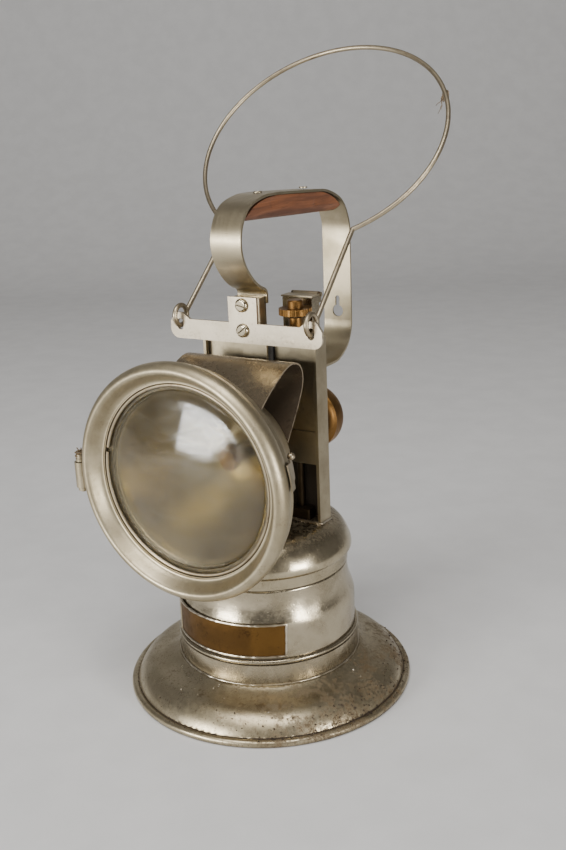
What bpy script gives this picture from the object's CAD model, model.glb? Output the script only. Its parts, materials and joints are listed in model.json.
import json
import math
import random

import bmesh
import bpy
from mathutils import Matrix, Vector, noise
from mathutils.bvhtree import BVHTree


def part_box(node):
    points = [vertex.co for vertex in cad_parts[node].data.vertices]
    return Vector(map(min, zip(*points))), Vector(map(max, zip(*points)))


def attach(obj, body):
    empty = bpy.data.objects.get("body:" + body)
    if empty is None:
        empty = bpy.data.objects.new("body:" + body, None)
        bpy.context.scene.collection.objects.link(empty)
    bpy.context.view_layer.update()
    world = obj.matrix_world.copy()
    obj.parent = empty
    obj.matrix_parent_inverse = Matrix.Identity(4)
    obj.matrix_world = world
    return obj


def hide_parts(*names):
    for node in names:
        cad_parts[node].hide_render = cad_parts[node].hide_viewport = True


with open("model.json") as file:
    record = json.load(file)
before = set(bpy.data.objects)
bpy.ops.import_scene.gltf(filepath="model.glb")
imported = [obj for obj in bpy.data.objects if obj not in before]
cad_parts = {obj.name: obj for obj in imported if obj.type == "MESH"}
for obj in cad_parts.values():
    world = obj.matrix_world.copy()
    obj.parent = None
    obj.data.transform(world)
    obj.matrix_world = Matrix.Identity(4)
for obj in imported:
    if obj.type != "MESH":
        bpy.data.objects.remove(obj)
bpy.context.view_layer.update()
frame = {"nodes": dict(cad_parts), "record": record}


MM = 0.001   # metres in a millimetre


# ---- camera, light and stage ----------------------------------------------
CAMERA_AZIMUTH = math.radians(31.75)
CAMERA_HEIGHT = math.radians(16.6)
CAMERA_ROLL = math.radians(-2.34)
CAMERA_DISTANCE = 0.51543
CAMERA_LENS_MM = 42.74
AIM_RIGHT = 0.01188
AIM_UP = 0.13902
SENSOR_MM = 36
LAMP_MIDDLE = Vector((0, 0, 0.12))


def make_camera():
    """The camera at the photograph's viewing angle, a little rolled."""
    turn, rise = CAMERA_AZIMUTH, CAMERA_HEIGHT
    back = Vector((math.sin(turn) * math.cos(rise), -math.cos(turn) * math.cos(rise), math.sin(rise)))
    right = Vector((math.cos(turn), math.sin(turn), 0))
    up = back.cross(right)
    rolled_right = right * math.cos(CAMERA_ROLL) + up * math.sin(CAMERA_ROLL)
    rolled_up = up * math.cos(CAMERA_ROLL) - right * math.sin(CAMERA_ROLL)
    data = bpy.data.cameras.new("camera")
    data.sensor_width = SENSOR_MM
    data.lens = CAMERA_LENS_MM
    data.clip_start = 0.01
    camera = bpy.data.objects.new("camera", data)
    bpy.context.scene.collection.objects.link(camera)
    camera.matrix_world = Matrix((rolled_right, rolled_up, back)).transposed().to_4x4()
    camera.location = right * AIM_RIGHT + Vector((0, 0, AIM_UP)) + back * CAMERA_DISTANCE
    bpy.context.scene.camera = camera


def area_light(name, azimuth, elevation, distance, size, power, colour):
    """A soft box that looks at the lamp's middle. Azimuth 0 is in front of the lens, positive to +X."""
    turn, rise = math.radians(azimuth), math.radians(elevation)
    way = Vector((math.sin(turn) * math.cos(rise), -math.cos(turn) * math.cos(rise), math.sin(rise)))
    data = bpy.data.lights.new(name, "AREA")
    data.shape = "RECTANGLE"
    data.size, data.size_y = size
    data.energy = power
    data.color = colour
    light = bpy.data.objects.new(name, data)
    bpy.context.scene.collection.objects.link(light)
    light.location = LAMP_MIDDLE + way * distance
    light.rotation_euler = way.to_track_quat("Z", "Y").to_euler()


def make_lights():
    """A low wide window in front, one at the right, and a soft box overhead."""
    area_light("window_left", -19, 8, 1.5, (0.66, 0.32), 21, (1.0, 0.99, 0.96))
    area_light("window_right", 76, 6, 1.6, (0.42, 0.42), 15, (1.0, 0.98, 0.94))
    area_light("overhead", 20, 62, 1.7, (1.2, 0.9), 24, (1.0, 0.98, 0.95))
    world = bpy.data.worlds.new("room")
    world.use_nodes = True
    background = world.node_tree.nodes["Background"]
    background.inputs["Color"].default_value = (0.50, 0.48, 0.46, 1)
    background.inputs["Strength"].default_value = 0.30
    bpy.context.scene.world = world


# ---- material nodes ---------------------------------------------------------
class Tree:
    """A material's node tree, with short calls for the nodes used here."""

    def __init__(self, name, **sockets):
        self.material = bpy.data.materials.new(name)
        self.material.use_nodes = True
        self.nodes = self.material.node_tree.nodes
        self.links = self.material.node_tree.links
        self.shader = self.nodes["Principled BSDF"]
        for socket, value in sockets.items():
            self.shader.inputs[socket.replace("_", " ")].default_value = value
        self.place = self.nodes.new("ShaderNodeTexCoord").outputs["Object"]

    def put(self, socket, value):
        """Link value to the socket, or set it when it is a plain number or colour."""
        if isinstance(value, bpy.types.NodeSocket):
            self.links.new(value, socket)
        elif isinstance(value, tuple) and len(value) == 3 and socket.type == "RGBA":
            socket.default_value = (*value, 1)
        else:
            socket.default_value = value

    def feed(self, socket, value):
        """Give value to one of the shader's sockets."""
        self.put(self.shader.inputs[socket], value)

    def axes(self):
        """The object's own coordinates, as three numbers."""
        return self.split(self.place)

    def split(self, vector):
        """A vector's X, Y and Z."""
        node = self.nodes.new("ShaderNodeSeparateXYZ")
        self.links.new(vector, node.inputs["Vector"])
        return node.outputs

    def scaled(self, stretch, shift=0.0):
        """The object's coordinates, stretched along the axes."""
        mapping = self.nodes.new("ShaderNodeMapping")
        self.links.new(self.place, mapping.inputs["Vector"])
        mapping.inputs["Scale"].default_value = stretch
        mapping.inputs["Location"].default_value = (shift, shift * 0.7, shift * 1.3)
        return mapping.outputs["Vector"]

    def noise(self, scale, detail=4.0, rough=0.55, stretch=(1, 1, 1), warp=0.0, shift=0.0):
        """Fractal noise, 0 to 1."""
        node = self.nodes.new("ShaderNodeTexNoise")
        self.links.new(self.scaled(stretch, shift), node.inputs["Vector"])
        node.inputs["Scale"].default_value = scale
        node.inputs["Detail"].default_value = detail
        node.inputs["Roughness"].default_value = rough
        node.inputs["Distortion"].default_value = warp
        return node.outputs["Fac"]

    def cells(self, scale, stretch=(1, 1, 1), shift=0.0):
        """Distance to the nearest random point, for pits and specks."""
        node = self.nodes.new("ShaderNodeTexVoronoi")
        self.links.new(self.scaled(stretch, shift), node.inputs["Vector"])
        node.inputs["Scale"].default_value = scale
        return node.outputs["Distance"]

    def crevice(self, distance):
        """0 in tight corners, 1 on open surfaces."""
        node = self.nodes.new("ShaderNodeAmbientOcclusion")
        node.samples = 6
        node.inputs["Distance"].default_value = distance
        return node.outputs["AO"]

    def map(self, value, low, high, out_low=0.0, out_high=1.0):
        """Value stretched from low..high to out_low..out_high, smooth and clamped."""
        node = self.nodes.new("ShaderNodeMapRange")
        node.interpolation_type = "SMOOTHSTEP"
        self.put(node.inputs["Value"], value)
        node.inputs["From Min"].default_value = low
        node.inputs["From Max"].default_value = high
        node.inputs["To Min"].default_value = out_low
        node.inputs["To Max"].default_value = out_high
        return node.outputs["Result"]

    def maths(self, operation, first, second):
        """A two-input Math node."""
        node = self.nodes.new("ShaderNodeMath")
        node.operation = operation
        self.put(node.inputs[0], first)
        self.put(node.inputs[1], second)
        return node.outputs["Value"]

    def blend(self, factor, first, second):
        """A colour between first, at 0, and second, at 1."""
        node = self.nodes.new("ShaderNodeMix")
        node.data_type = "RGBA"
        self.put(node.inputs["Factor"], factor)
        self.put(node.inputs[6], first)
        self.put(node.inputs[7], second)
        return node.outputs[2]

    def bump(self, height, distance, strength=1.0, under=None):
        """A bumped normal, on top of the normal under it."""
        node = self.nodes.new("ShaderNodeBump")
        self.put(node.inputs["Height"], height)
        node.inputs["Distance"].default_value = distance
        node.inputs["Strength"].default_value = strength
        if under is not None:
            self.put(node.inputs["Normal"], under)
        return node.outputs["Normal"]


def plated(name, clean, dull, stain, smooth, coarse, brush=(1, 1, 1), stains=0.2, pits=0.35, extra=None):
    """Aged metal plate: cloudy tarnish, brown specks, dirt in corners, brushing and fine pits.

    extra adds local dirt: it takes the tree and gives how much of it there is, 0 to 1, and its colour.
    """
    tree = Tree(name, Metallic=1.0)
    cloud = tree.noise(38, 5, 0.6, warp=0.4)
    patches = tree.noise(150, 4, 0.6, shift=3.1)
    colour = tree.blend(tree.map(cloud, 0.36, 0.66), clean, dull)
    speck = tree.map(tree.maths("MULTIPLY", patches, tree.noise(900, 3, 0.6, shift=7.7)), 0.29, 0.42)
    colour = tree.blend(tree.maths("MULTIPLY", speck, stains), colour, stain)
    dirt = tree.map(tree.crevice(0.003), 0.22, 0.75, 0.8, 0.0)
    colour = tree.blend(dirt, colour, tuple(v * 0.3 for v in stain))
    grain = tree.noise(420, 3, 0.7, stretch=brush, shift=1.7)
    worn = tree.maths("ADD", tree.maths("MULTIPLY", cloud, 0.6), tree.maths("MULTIPLY", grain, 0.4))
    rough = tree.map(worn, 0.32, 0.68, smooth, coarse)
    if extra:
        amount, local = extra(tree)
        colour = tree.blend(amount, colour, local)
        dirt = tree.maths("MAXIMUM", dirt, amount)
    tree.feed("Base Color", colour)
    tree.feed("Roughness", tree.maths("MAXIMUM", rough, tree.maths("MULTIPLY", dirt, 0.85)))
    tree.feed("Metallic", tree.map(dirt, 0.3, 0.9, 1.0, 0.25))
    pitted = tree.map(tree.cells(420, shift=2.2), 0.05, 0.22, 0.0, 1.0)
    low = tree.bump(grain, 0.00006, 0.5)
    tree.feed("Normal", tree.bump(pitted, 0.00005, pits, under=low))
    return tree.material


def foot_rust(tree):
    """Brown rust blooms on the foot's +X side, and fine specks all over it."""
    side = tree.map(tree.axes()["X"], -4 * MM, 50 * MM)
    bloom = tree.maths("MULTIPLY", tree.noise(75, 4, 0.65, shift=5.2), tree.noise(420, 5, 0.75, shift=2.6))
    grainy = tree.map(tree.noise(1500, 4, 0.8, shift=1.4), 0.36, 0.54, 0.45, 1.0)
    rust = tree.maths("MULTIPLY", tree.maths("MULTIPLY", tree.map(bloom, 0.19, 0.33), grainy), side)
    fine = tree.maths("MULTIPLY", tree.map(tree.noise(1100, 4, 0.7, shift=6.1), 0.57, 0.67), 0.8)
    tint = tree.blend(tree.noise(500, 3, shift=4.4), (0.050, 0.032, 0.015), (0.135, 0.088, 0.038))
    return tree.maths("MAXIMUM", rust, fine), tint


def column_soot(tree):
    """Black soot in the open recess at the column's foot, and brown smoke stains above it."""
    along = tree.axes()
    across = tree.maths("ABSOLUTE", along["X"], 0.0)
    fading = tree.map(along["Z"], 165 * MM, 215 * MM, 0.95, 0.25)
    panel = tree.map(across, 24 * MM, 31 * MM, 1.0, 0.15)
    patchy = tree.map(tree.noise(120, 5, 0.7, shift=6.6), 0.25, 0.55, 0.55, 1.0)
    smoke = tree.maths("MULTIPLY", tree.maths("MULTIPLY", fading, panel), patchy)
    recess = tree.map(along["Z"], 120.5 * MM, 121.5 * MM, 0.93, 0.0)
    inside = tree.map(across, 32.6 * MM, 32.9 * MM, 1.0, 0.0)
    behind = tree.map(along["Y"], 1.6 * MM, 2.6 * MM)
    soot = tree.maths("MULTIPLY", recess, tree.maths("MULTIPLY", inside, behind))
    return tree.maths("MAXIMUM", soot, smoke), tree.blend(soot, (0.060, 0.036, 0.018), (0.020, 0.013, 0.009))


def hood_grime(tree):
    """Dirt along the hood's lower edge, and a smoked inside."""
    edge = tree.map(tree.axes()["Z"], 154.5 * MM, 167 * MM, 1.0, 0.0)
    patchy = tree.map(tree.noise(330, 5, 0.75, shift=9.0), 0.42, 0.62)
    smoked = tree.map(tree.crevice(0.035), 0.50, 0.80, 0.95, 0.0)
    return tree.maths("MAXIMUM", tree.maths("MULTIPLY", edge, patchy), smoked), (0.040, 0.025, 0.013)


def cap_grime(tree):
    """Greasy dirt on the cap's shoulder, round the foot of the column."""
    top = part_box("generator_cap")[1].z
    high = tree.map(tree.axes()["Z"], top - 9 * MM, top - 1 * MM)
    patchy = tree.map(tree.noise(520, 6, 0.8, shift=8.2), 0.34, 0.66, 0.0, 0.75)
    return tree.maths("MULTIPLY", high, patchy), (0.060, 0.037, 0.018)


def make_glass():
    """Old domed lens: clear, slightly yellow, with dust and smears."""
    tree = Tree("lens_glass", Transmission_Weight=1.0, IOR=1.46)
    tree.feed("Base Color", tree.blend(tree.noise(60, 3), (0.90, 0.86, 0.70), (0.82, 0.77, 0.58)))
    smear = tree.noise(70, 5, 0.65, stretch=(1, 1, 2.2), warp=1.2)
    tree.feed("Roughness", tree.map(smear, 0.35, 0.7, 0.08, 0.20))
    dust = tree.map(tree.noise(1500, 3, 0.7), 0.60, 0.74, 0.0, 0.22)
    film = tree.map(smear, 0.3, 0.75, 0.03, 0.08)
    coat = tree.nodes.new("ShaderNodeBsdfDiffuse")
    coat.inputs["Color"].default_value = (0.58, 0.53, 0.40, 1)
    mix = tree.nodes.new("ShaderNodeMixShader")
    tree.put(mix.inputs["Fac"], tree.maths("MAXIMUM", dust, film))
    tree.links.new(tree.shader.outputs["BSDF"], mix.inputs[1])
    tree.links.new(coat.outputs["BSDF"], mix.inputs[2])
    tree.links.new(mix.outputs["Shader"], tree.nodes["Material Output"].inputs["Surface"])
    return tree.material


def make_wood():
    """Oiled reddish hardwood, grain along Y, with dark worn spots."""
    tree = Tree("grip_wood")
    grain = tree.noise(260, 6, 0.62, stretch=(1, 0.07, 1), warp=0.5)
    pores = tree.noise(1500, 2, 0.6, stretch=(1, 0.05, 1))
    colour = tree.blend(tree.map(grain, 0.33, 0.68), (0.23, 0.085, 0.034), (0.095, 0.034, 0.016))
    colour = tree.blend(tree.map(pores, 0.60, 0.72, 0.0, 0.7), colour, (0.035, 0.014, 0.008))
    spots = tree.map(tree.noise(95, 3, 0.6, shift=4.0), 0.62, 0.70, 0.0, 0.85)
    colour = tree.blend(spots, colour, (0.02, 0.009, 0.006))
    colour = tree.blend(tree.map(tree.crevice(0.003), 0.2, 0.8, 0.6, 0.0), colour, (0.03, 0.013, 0.008))
    tree.feed("Base Color", colour)
    tree.feed("Roughness", tree.map(grain, 0.3, 0.7, 0.38, 0.62))
    low = tree.bump(grain, 0.0003, 0.5)
    tree.feed("Normal", tree.bump(pores, 0.0001, 0.5, under=low))
    return tree.material


def make_matt(name, light, dark, rough, scale, depth):
    """A dull material: rubber, felt or fired lava."""
    tree = Tree(name)
    grain = tree.noise(scale, 5, 0.65)
    colour = tree.blend(tree.map(grain, 0.3, 0.7), light, dark)
    corners = tree.map(tree.crevice(0.003), 0.2, 0.8, 0.6, 0.0)
    colour = tree.blend(corners, colour, tuple(v * 0.3 for v in dark))
    tree.feed("Base Color", colour)
    tree.feed("Roughness", tree.map(grain, 0.3, 0.7, rough, min(1.0, rough + 0.2)))
    tree.feed("Normal", tree.bump(grain, depth, 0.6))
    return tree.material


# ---- the slots' materials, and local looks ------------------------------------
BROWN = (0.14, 0.085, 0.042)
NICKEL = (0.52, 0.45, 0.315), (0.37, 0.315, 0.21), BROWN
LENGTHWISE = (6.0, 0.12, 0.12)
MATERIALS = {
    "nickel": plated("satin_nickel", *NICKEL, 0.30, 0.46),
    "nickel_bright": plated("bright_nickel", (0.51, 0.445, 0.325), (0.34, 0.29, 0.20), BROWN, 0.16, 0.34,
                            pits=0.6),
    "brass": plated("aged_brass", (0.27, 0.145, 0.045), (0.12, 0.062, 0.022), (0.035, 0.018, 0.008),
                    0.30, 0.52),
    "plate_brass": plated("plate_brass", (0.155, 0.082, 0.024), (0.090, 0.048, 0.016), (0.04, 0.022, 0.010),
                          0.40, 0.58, stains=0.6),
    "steel_wire": plated("dull_wire", (0.46, 0.39, 0.28), (0.30, 0.25, 0.17), BROWN, 0.32, 0.5,
                         stains=0.5),
    "reflector_finish": plated("old_silvering", (0.36, 0.28, 0.13), (0.30, 0.23, 0.105), BROWN,
                               0.40, 0.48),
    "tinned": plated("dull_tin", (0.42, 0.40, 0.36), (0.30, 0.28, 0.25), BROWN, 0.40, 0.6),
    "glass": make_glass(),
    "wood": make_wood(),
    "cork": make_matt("cork_ring", (0.42, 0.31, 0.13), (0.26, 0.18, 0.07), 0.6, 900, 0.00008),
    "rubber": make_matt("old_rubber", (0.045, 0.040, 0.035), (0.022, 0.020, 0.018), 0.62, 600, 0.00008),
    "felt": make_matt("felt", (0.55, 0.52, 0.45), (0.40, 0.37, 0.31), 0.9, 1800, 0.0003),
    "ceramic": make_matt("fired_lava", (0.72, 0.66, 0.56), (0.45, 0.38, 0.30), 0.7, 500, 0.00005),
}
SPECIAL = {
    "rusty_foot": plated("foot_nickel", *NICKEL, 0.26, 0.44, stains=0.5, extra=foot_rust),
    "sooty_column": plated("column_nickel", *NICKEL, 0.30, 0.46, brush=LENGTHWISE, extra=column_soot),
    "grimy_hood": plated("hood_nickel", (0.48, 0.395, 0.275), (0.39, 0.315, 0.215), BROWN, 0.22, 0.34,
                         stains=0.3, extra=hood_grime),
    "grimy_cap": plated("cap_nickel", *NICKEL, 0.18, 0.34, stains=0.4, extra=cap_grime),
    "satin_ring": plated("ring_nickel", *NICKEL, 0.37, 0.50, stains=0.25, pits=0.5),
    "brushed_strap": plated("strap_nickel", *NICKEL, 0.28, 0.44, brush=LENGTHWISE, stains=0.1),
    "pale_bar": plated("bar_nickel", (0.62, 0.55, 0.43), (0.48, 0.42, 0.32), BROWN, 0.34, 0.5,
                       stains=0.25),
    "black_brass": plated("black_brass", (0.07, 0.05, 0.03), (0.035, 0.024, 0.015), (0.02, 0.012, 0.008),
                          0.45, 0.65),
    "solder": plated("solder", (0.62, 0.56, 0.45), (0.42, 0.36, 0.26), BROWN, 0.26, 0.42, stains=0.6),
    "grime": make_matt("grime", (0.060, 0.038, 0.020), (0.025, 0.016, 0.010), 0.8, 900, 0.0001),
    "lint": make_matt("lint", (0.62, 0.57, 0.48), (0.40, 0.33, 0.24), 0.9, 900, 0.0001),
    "twine": make_matt("twine", (0.20, 0.14, 0.075), (0.09, 0.06, 0.032), 0.85, 1500, 0.0001),
}
NODE_LOOKS = {
    "column_channel": "sooty_column", "vent_hood": "grimy_hood", "handle_strap": "brushed_strap",
    "crossbar": "pale_bar", "drip_tube": "black_brass", "drip_block": "black_brass",
    "gas_riser": "black_brass", "foot_flange": "rusty_foot", "door_bezel": "satin_ring",
}


def dress_nodes():
    """Each CAD node gets the material of its slot in the record, or its own look."""
    for part in frame["record"]["subparts"]:
        node = frame["nodes"][part["node"]]
        look = NODE_LOOKS.get(part["node"])
        node.data.materials.clear()
        node.data.materials.append(SPECIAL[look] if look else MATERIALS[part["material_slot"]])


# ---- mesh helpers -----------------------------------------------------------
def finish_piece(name, shape, material, body, replaced=(), sharp=40):
    """Turn a bmesh into a piece that rides on a CAD body."""
    mesh = bpy.data.meshes.new(name)
    bmesh.ops.recalc_face_normals(shape, faces=shape.faces)
    shape.to_mesh(mesh)
    shape.free()
    mesh.shade_smooth()
    mesh.set_sharp_from_angle(angle=math.radians(sharp))
    mesh.materials.append(material)
    piece = bpy.data.objects.new(name, mesh)
    bpy.context.scene.collection.objects.link(piece)
    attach(piece, body)
    if replaced:
        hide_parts(*replaced)
    return piece


def worn_copy(name, node, body, material, longest, push, sharp=35):
    """A finer copy of a CAD node's shape, moved by push(point, normal) to dent or wear it."""
    shape = bmesh.new()
    shape.from_mesh(frame["nodes"][node].data)
    bmesh.ops.remove_doubles(shape, verts=shape.verts, dist=2e-6)
    for _ in range(6):
        long_edges = [e for e in shape.edges if e.calc_length() > longest]
        if not long_edges:
            break
        bmesh.ops.subdivide_edges(shape, edges=long_edges, cuts=1)
        bmesh.ops.triangulate(shape, faces=[f for f in shape.faces if len(f.verts) > 3])
    shape.normal_update()
    moves = [push(v.co, v.normal) for v in shape.verts]
    for vertex, move in zip(shape.verts, moves):
        vertex.co += move
    return finish_piece(name, shape, material, body, (node,), sharp)


def add_tube(shape, points, radius, sides=8, closed=False):
    """A round tube along points. radius is a length, or a function of 0 to 1 along it.

    A closed tube's last ring joins the first at the turn that twists it least.
    """
    size = radius if callable(radius) else lambda along: radius
    count = len(points)
    rings = []
    side = None
    for i, point in enumerate(points):
        after = points[(i + 1) % count] if closed or i + 1 < count else point
        before = points[i - 1] if closed or i else point
        forward = (after - before).normalized()
        guess = side or forward.orthogonal()
        side = (guess - forward * guess.dot(forward)).normalized()
        across = forward.cross(side)
        r = size(i / max(1, count - 1))
        ring = []
        for k in range(sides):
            turn = math.tau * k / sides
            ring.append(shape.verts.new(point + side * (r * math.cos(turn)) + across * (r * math.sin(turn))))
        rings.append(ring)
    pairs = list(zip(rings, rings[1:])) + ([(rings[-1], rings[0])] if closed else [])
    for low, high in pairs:
        shift = 0
        if closed and low is rings[-1]:
            gaps = [sum((low[k].co - high[(k + turned) % sides].co).length for k in range(sides))
                    for turned in range(sides)]
            shift = gaps.index(min(gaps))
        for k in range(sides):
            shape.faces.new((low[k], low[(k + 1) % sides],
                             high[(k + 1 + shift) % sides], high[(k + shift) % sides]))
    if not closed:
        shape.faces.new(rings[0])
        shape.faces.new(rings[-1])


def add_crumb(shape, point, size, dice):
    """A small irregular lump."""
    start = len(shape.verts)
    turn = Matrix.Rotation(dice.uniform(0, 6), 4, "Z") @ Matrix.Rotation(dice.uniform(0, 6), 4, "X")
    stretch = Matrix.Diagonal((dice.uniform(0.5, 1.5), dice.uniform(0.6, 1.2), dice.uniform(0.4, 0.8), 1))
    bmesh.ops.create_icosphere(shape, subdivisions=1, radius=size,
                               matrix=Matrix.Translation(point) @ turn @ stretch)
    shape.verts.ensure_lookup_table()
    for vertex in shape.verts[start:]:
        away = vertex.co - point
        vertex.co = point + away * (1 + 0.5 * noise.noise(vertex.co * 1700))


def ring_points(radius, height, start, end, count, wobble=0.0):
    """Points round the Z axis, angles in degrees from +X, with a little unevenness."""
    points = []
    for i in range(count):
        turn = math.radians(start + (end - start) * i / count)
        uneven = wobble * noise.noise(Vector((math.cos(turn), math.sin(turn), height)) * 9)
        points.append(Vector(((radius + uneven) * math.cos(turn), (radius + uneven) * math.sin(turn),
                              height + uneven)))
    return points


# ---- foot and generator -------------------------------------------------------
DENTS = (   # angle from +X, height, radius, depth
    (-28, 54, 7, 0.5), (-52, 51, 6, 0.35), (-12, 40, 8, 0.45), (-70, 56, 6, 0.3), (20, 52, 9, 0.5),
    (60, 46, 8, 0.5), (120, 50, 9, 0.5), (200, 48, 8, 0.45), (-35, 86, 7, 0.3), (-5, 84, 6, 0.3),
    (-60, 9, 12, 0.5), (-15, 8, 11, 0.6), (40, 9, 12, 0.6), (-100, 8, 12, 0.4), (150, 9, 14, 0.6),
    (-140, 10, 12, 0.4),
)


STILL_RADIUS = 30 * MM    # nothing nearer the axis moves
FOOT_RADIUS = 60 * MM     # past this the sheet lies flat, so dents go down


def base_push(point, _normal):
    """Shallow dents and waviness, the same through the whole thickness of the sheet."""
    flat = Vector((point.x, point.y, 0))
    radius = flat.length
    if radius < STILL_RADIUS:
        return Vector()
    outward = flat / radius
    reach = min(1.0, (radius - STILL_RADIUS) / (8 * MM))
    wave = 0.16 * MM * noise.noise(point * 55) + 0.05 * MM * noise.noise(point * 160)
    turn = math.degrees(math.atan2(point.y, point.x))
    for angle, height, wide, deep in DENTS:
        around = math.radians((turn - angle + 180) % 360 - 180) * radius
        apart = math.hypot(around, point.z - height * MM) / (wide * MM)
        if apart < 1:
            wave -= deep * 0.6 * MM * (1 - apart * apart) ** 2
    if radius > FOOT_RADIUS:
        return Vector((0, 0, 1)) * wave * min(1.0, max(0.0, point.z) / (3 * MM))
    return outward * wave * reach


def rim_grime():
    """Dirt packed in the groove inside the foot's rim, thick on the +X side."""
    shape = bmesh.new()
    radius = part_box("foot_flange")[1].x - 3.75 * MM
    points = ring_points(radius, 3.2 * MM, 0, 360, 420)

    def size(along):
        turn = math.tau * along
        heavy = 0.5 + 0.5 * math.cos(turn + 0.3)
        lumps = noise.noise(Vector((math.cos(turn) * 14, math.sin(turn) * 14, 2)))
        return (0.42 + 0.22 * heavy + 0.35 * heavy * lumps) * MM

    add_tube(shape, points, size, sides=6, closed=True)
    finish_piece("rim_grime", shape, SPECIAL["grime"], "base")


def seam_beads():
    """The bright solder line between the foot and the band."""
    shape = bmesh.new()
    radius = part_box("base_band")[1].x - 0.2 * MM
    points = ring_points(radius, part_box("foot_flange")[1].z - 0.4 * MM, 0, 360, 300, 0.25 * MM)
    add_tube(shape, points, lambda t: (0.75 + 0.18 * noise.noise(Vector((t * 90, 1, 5)))) * MM,
             sides=8, closed=True)
    finish_piece("foot_seam", shape, SPECIAL["solder"], "base")


def plate_frame():
    """A lumpy bead of solder round the maker's plate."""
    low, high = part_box("nameplate")
    radius = -low.y + 0.1 * MM
    half = math.degrees(math.asin(high.x / radius)) + 0.6
    bottom, top = low.z - 0.5 * MM, high.z + 0.5 * MM
    along, upright = 110, 17
    lower = ring_points(radius, bottom, -90 - half, -90 + half, along)
    upper = ring_points(radius, top, -90 + half, -90 - half, along)
    rise = [lower[-1].lerp(upper[0], i / upright) for i in range(1, upright)]
    fall = [upper[-1].lerp(lower[0], i / upright) for i in range(1, upright)]
    points = lower + rise + upper + fall
    shape = bmesh.new()
    add_tube(shape, points, lambda t: (0.62 + 0.28 * noise.noise(Vector((t * 60, 3, 1)))) * MM,
             sides=8, closed=True)
    finish_piece("plate_solder", shape, SPECIAL["solder"], "base", ("nameplate_frame",))


SURFACES = {}


def drop_on(node, x, y, top):
    """The point where a plumb line at x, y meets a CAD node, or None."""
    if node not in SURFACES:
        mesh = frame["nodes"][node].data
        SURFACES[node] = BVHTree.FromPolygons([v.co for v in mesh.vertices],
                                              [tuple(p.vertices) for p in mesh.polygons])
    return SURFACES[node].ray_cast(Vector((x, y, top)), Vector((0, 0, -1)))[0]


def foot_grit():
    """Rust crumbs and lint on the foot, mostly on the +X side."""
    dice = random.Random(11)
    rust, lint = bmesh.new(), bmesh.new()
    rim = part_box("foot_flange")[1].x
    above = 50 * MM
    for _ in range(330):
        turn = math.radians(dice.gauss(-10, 42))
        radius = rim * (1 - abs(dice.gauss(0.055, 0.05))) - 1 * MM
        if radius < 51 * MM:
            continue
        place = drop_on("foot_flange", radius * math.cos(turn), radius * math.sin(turn), above)
        if place:
            add_crumb(rust, place, dice.uniform(0.15, 0.60) * MM, dice)
    for _ in range(70):
        turn = math.radians(dice.gauss(-25, 55))
        radius = dice.uniform(50, 73) * MM if dice.random() < 0.5 else rim - 3.6 * MM
        place = drop_on("foot_flange", radius * math.cos(turn), radius * math.sin(turn), above)
        if place:
            add_crumb(lint, place, dice.uniform(0.15, 0.42) * MM, dice)
    finish_piece("foot_crumbs", rust, SPECIAL["grime"], "base")
    finish_piece("foot_lint", lint, SPECIAL["lint"], "base")


def column_seam():
    """Old solder and dirt where the column stands on the cap."""
    dice = random.Random(5)
    low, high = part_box("column_channel")
    cap_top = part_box("generator_cap")[1].z
    above, steps = 120 * MM, 26
    corners = [Vector((low.x, high.y, 0)), Vector((low.x, low.y, 0)),
               Vector((high.x, low.y, 0)), Vector((high.x, high.y, 0))]
    solder, dirt, specks = bmesh.new(), bmesh.new(), bmesh.new()
    line = []
    for first, second in zip(corners, corners[1:] + corners[:1]):
        for i in range(steps):
            spot = first.lerp(second, i / steps)
            place = drop_on("generator_cap", spot.x * 0.995, spot.y, above)
            line.append(Vector((spot.x, spot.y, place.z if place else cap_top - 1 * MM)))
    add_tube(solder, line, lambda t: (0.75 + 0.35 * noise.noise(Vector((t * 110, 0, 7)))) * MM,
             sides=8, closed=True)
    for _ in range(190):
        spot = dice.choice(line) + Vector((dice.gauss(0, 1.0), dice.gauss(-0.9, 1.0), 0)) * MM
        place = drop_on("generator_cap", spot.x, spot.y, above)
        if place:
            pale = dice.random() < 0.35
            size = dice.uniform(0.15, 0.45 if pale else 0.6) * MM
            add_crumb(specks if pale else dirt, place, size, dice)
    finish_piece("column_solder", solder, SPECIAL["solder"], "lantern")
    finish_piece("column_dirt", dirt, SPECIAL["grime"], "lantern")
    finish_piece("column_specks", specks, SPECIAL["lint"], "lantern")


# ---- handle, bail and hinge -----------------------------------------------------
def grip_push(point, normal):
    """Open grain and small knocks in the wooden grip."""
    grain = noise.noise(Vector((point.x * 900, point.y * 40, point.z * 900)))
    knocks = min(0.0, noise.noise(point * 130) + 0.35)
    return normal * (0.10 * grain + 0.8 * knocks) * MM


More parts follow.
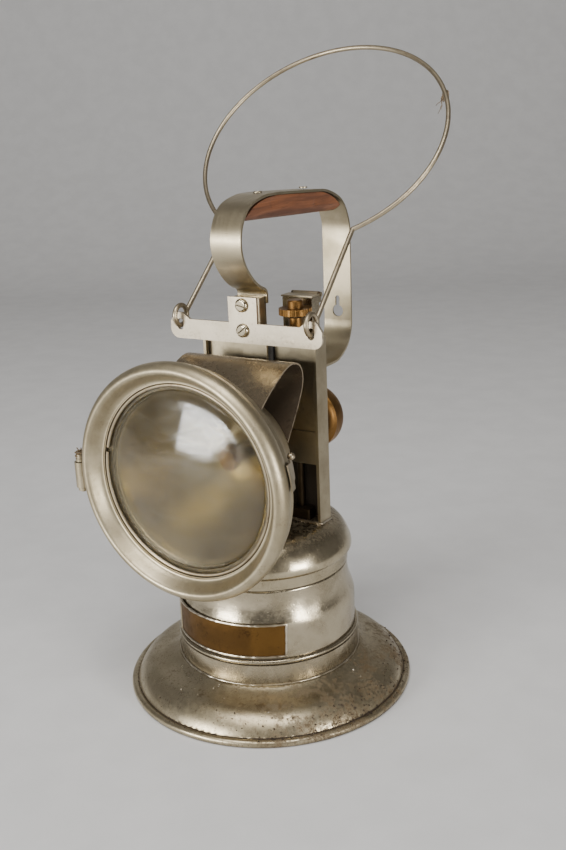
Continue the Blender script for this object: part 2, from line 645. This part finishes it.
def bail_string():
    """A scrap of old string tied round the hoop's wire, at its upper +X side."""
    vertices = [v.co for v in frame["nodes"]["bail"].data.vertices]
    far_x = max(v.x for v in vertices)
    top = max(v.z for v in vertices)
    high = top - 55 * MM
    near = [v for v in vertices if 0.86 * far_x < v.x < 0.915 * far_x and v.z > high]
    middle = sum(near, Vector()) / len(near)
    dice = random.Random(3)
    shape = bmesh.new()
    wire = 1.55 * MM
    coil = []
    count = 64
    for i in range(count):
        turn = i * 0.55
        along = (i / count - 0.5) * 5 * MM
        coil.append(middle + Vector((-0.25 * along + wire * math.cos(turn),
                                     wire * 0.8 * math.sin(turn) + along * 0.5,
                                     wire * 0.7 * math.sin(turn) + along * 0.75)))
    add_tube(shape, coil, 0.28 * MM, sides=6)
    for reach, sway in ((8.5, -1.4), (6.5, 0.6), (4.5, -2.6), (3.0, 1.6)):
        end = [middle + Vector((-wire, 0, 0))]
        for i in range(1, 9):
            part = i / 8
            end.append(middle + Vector((-wire - 0.8 * MM * part + sway * MM * part * part, -0.6 * MM * part,
                                        -reach * MM * part))
                       + Vector((dice.gauss(0, 0.25), dice.gauss(0, 0.25), 0)) * MM)
        add_tube(shape, end, lambda t: (0.26 - 0.12 * t) * MM, sides=5)
    finish_piece("bail_string", shape, SPECIAL["twine"], "bail")


def hinge_wire():
    """Twisted ends of thin wire on top of the hinge pin."""
    low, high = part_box("hinge_pin")
    middle = (low + high) / 2
    dice = random.Random(8)
    shape = bmesh.new()
    for k in range(4):
        start = dice.uniform(0, 6)
        points = []
        for i in range(30):
            turn = start + i * 0.42
            radius = (1.5 + 0.9 * math.sin(i * 0.3 + k)) * MM
            points.append(Vector((middle.x + radius * math.cos(turn), middle.y + radius * math.sin(turn),
                                  high.z - 1.6 * MM + (i / 30) * (2.2 + k * 0.5) * MM)))
        loose_end = Vector((dice.gauss(0, 1.3), dice.gauss(0, 1.3), dice.uniform(0.5, 1.5)))
        points.append(points[-1] + loose_end * MM)
        add_tube(shape, points, 0.30 * MM, sides=6)
    finish_piece("hinge_wire", shape, SPECIAL["twine"], "lantern")


# ---- brass dome and floor --------------------------------------------------------
def dome_front():
    """The brass dome's rounded front, which curls in to the tube that it sits on."""
    low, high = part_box("filter_cap")
    middle = (low + high) / 2
    tube = 12.4 * MM
    outer = high.x + 0.1 * MM
    start, bulge = low.y + 3.5 * MM, 6 * MM
    steps, turns = 12, 72
    profile = [(tube, start)]
    for i in range(steps + 1):
        bend = math.pi / 2 * i / steps
        profile.append((tube + (outer - tube) * math.cos(bend), start - bulge * math.sin(bend)))
    shape = bmesh.new()
    rings = []
    for i in range(turns):
        turn = math.tau * i / turns
        rings.append([shape.verts.new((middle.x + r * math.cos(turn), y, middle.z + r * math.sin(turn)))
                      for r, y in profile])
    for near, far in zip(rings, rings[1:] + rings[:1]):
        for k in range(len(profile)):
            after = (k + 1) % len(profile)
            shape.faces.new((near[k], near[after], far[after], far[k]))
    finish_piece("dome_front", shape, MATERIALS["brass"], "filter_cap")


def make_floor():
    """A plain pale floor that curves up behind."""
    tree = Tree("pale_floor", Roughness=0.9)
    tint = tree.map(tree.noise(30, 4), 0.3, 0.7)
    tree.feed("Base Color", tree.blend(tint, (0.66, 0.66, 0.665), (0.70, 0.70, 0.705)))
    mesh = bpy.data.meshes.new("floor")
    shape = bmesh.new()
    width, steps, radius = 6.0, 16, 0.9
    front, flat, wall = 4.0, 1.3, 3.0
    back = Vector((-math.sin(CAMERA_AZIMUTH), math.cos(CAMERA_AZIMUTH), 0))
    side = Vector((back.y, -back.x, 0))
    line = [back * -front, back * flat]
    for i in range(1, steps + 1):
        angle = math.pi / 2 * i / steps
        rise = Vector((0, 0, radius * (1 - math.cos(angle))))
        line.append(back * (flat + radius * math.sin(angle)) + rise)
    line.append(line[-1] + Vector((0, 0, wall)))
    rows = [[shape.verts.new(p + side * s * width / 2) for s in (-1, 1)] for p in line]
    for low, high in zip(rows, rows[1:]):
        face = shape.faces.new((low[0], low[1], high[1], high[0]))
        face.smooth = True
    bmesh.ops.recalc_face_normals(shape, faces=shape.faces)
    shape.to_mesh(mesh)
    shape.free()
    floor = bpy.data.objects.new("floor", mesh)
    floor.data.materials.append(tree.material)
    bpy.context.scene.collection.objects.link(floor)


make_camera()
make_lights()
dress_nodes()
make_floor()
worn_copy("spun_foot", "foot_flange", "base", SPECIAL["rusty_foot"], 2.5 * MM, base_push)
worn_copy("generator_shell", "generator_base", "base", MATERIALS["nickel_bright"],
          2.5 * MM, base_push)
worn_copy("cap_shell", "generator_cap", "lantern", SPECIAL["grimy_cap"], 2.5 * MM, base_push)
worn_copy("turned_grip", "wood_grip", "lantern", MATERIALS["wood"], 1.1 * MM, grip_push)
rim_grime()
seam_beads()
plate_frame()
foot_grit()
column_seam()
bail_string()
hinge_wire()
dome_front()
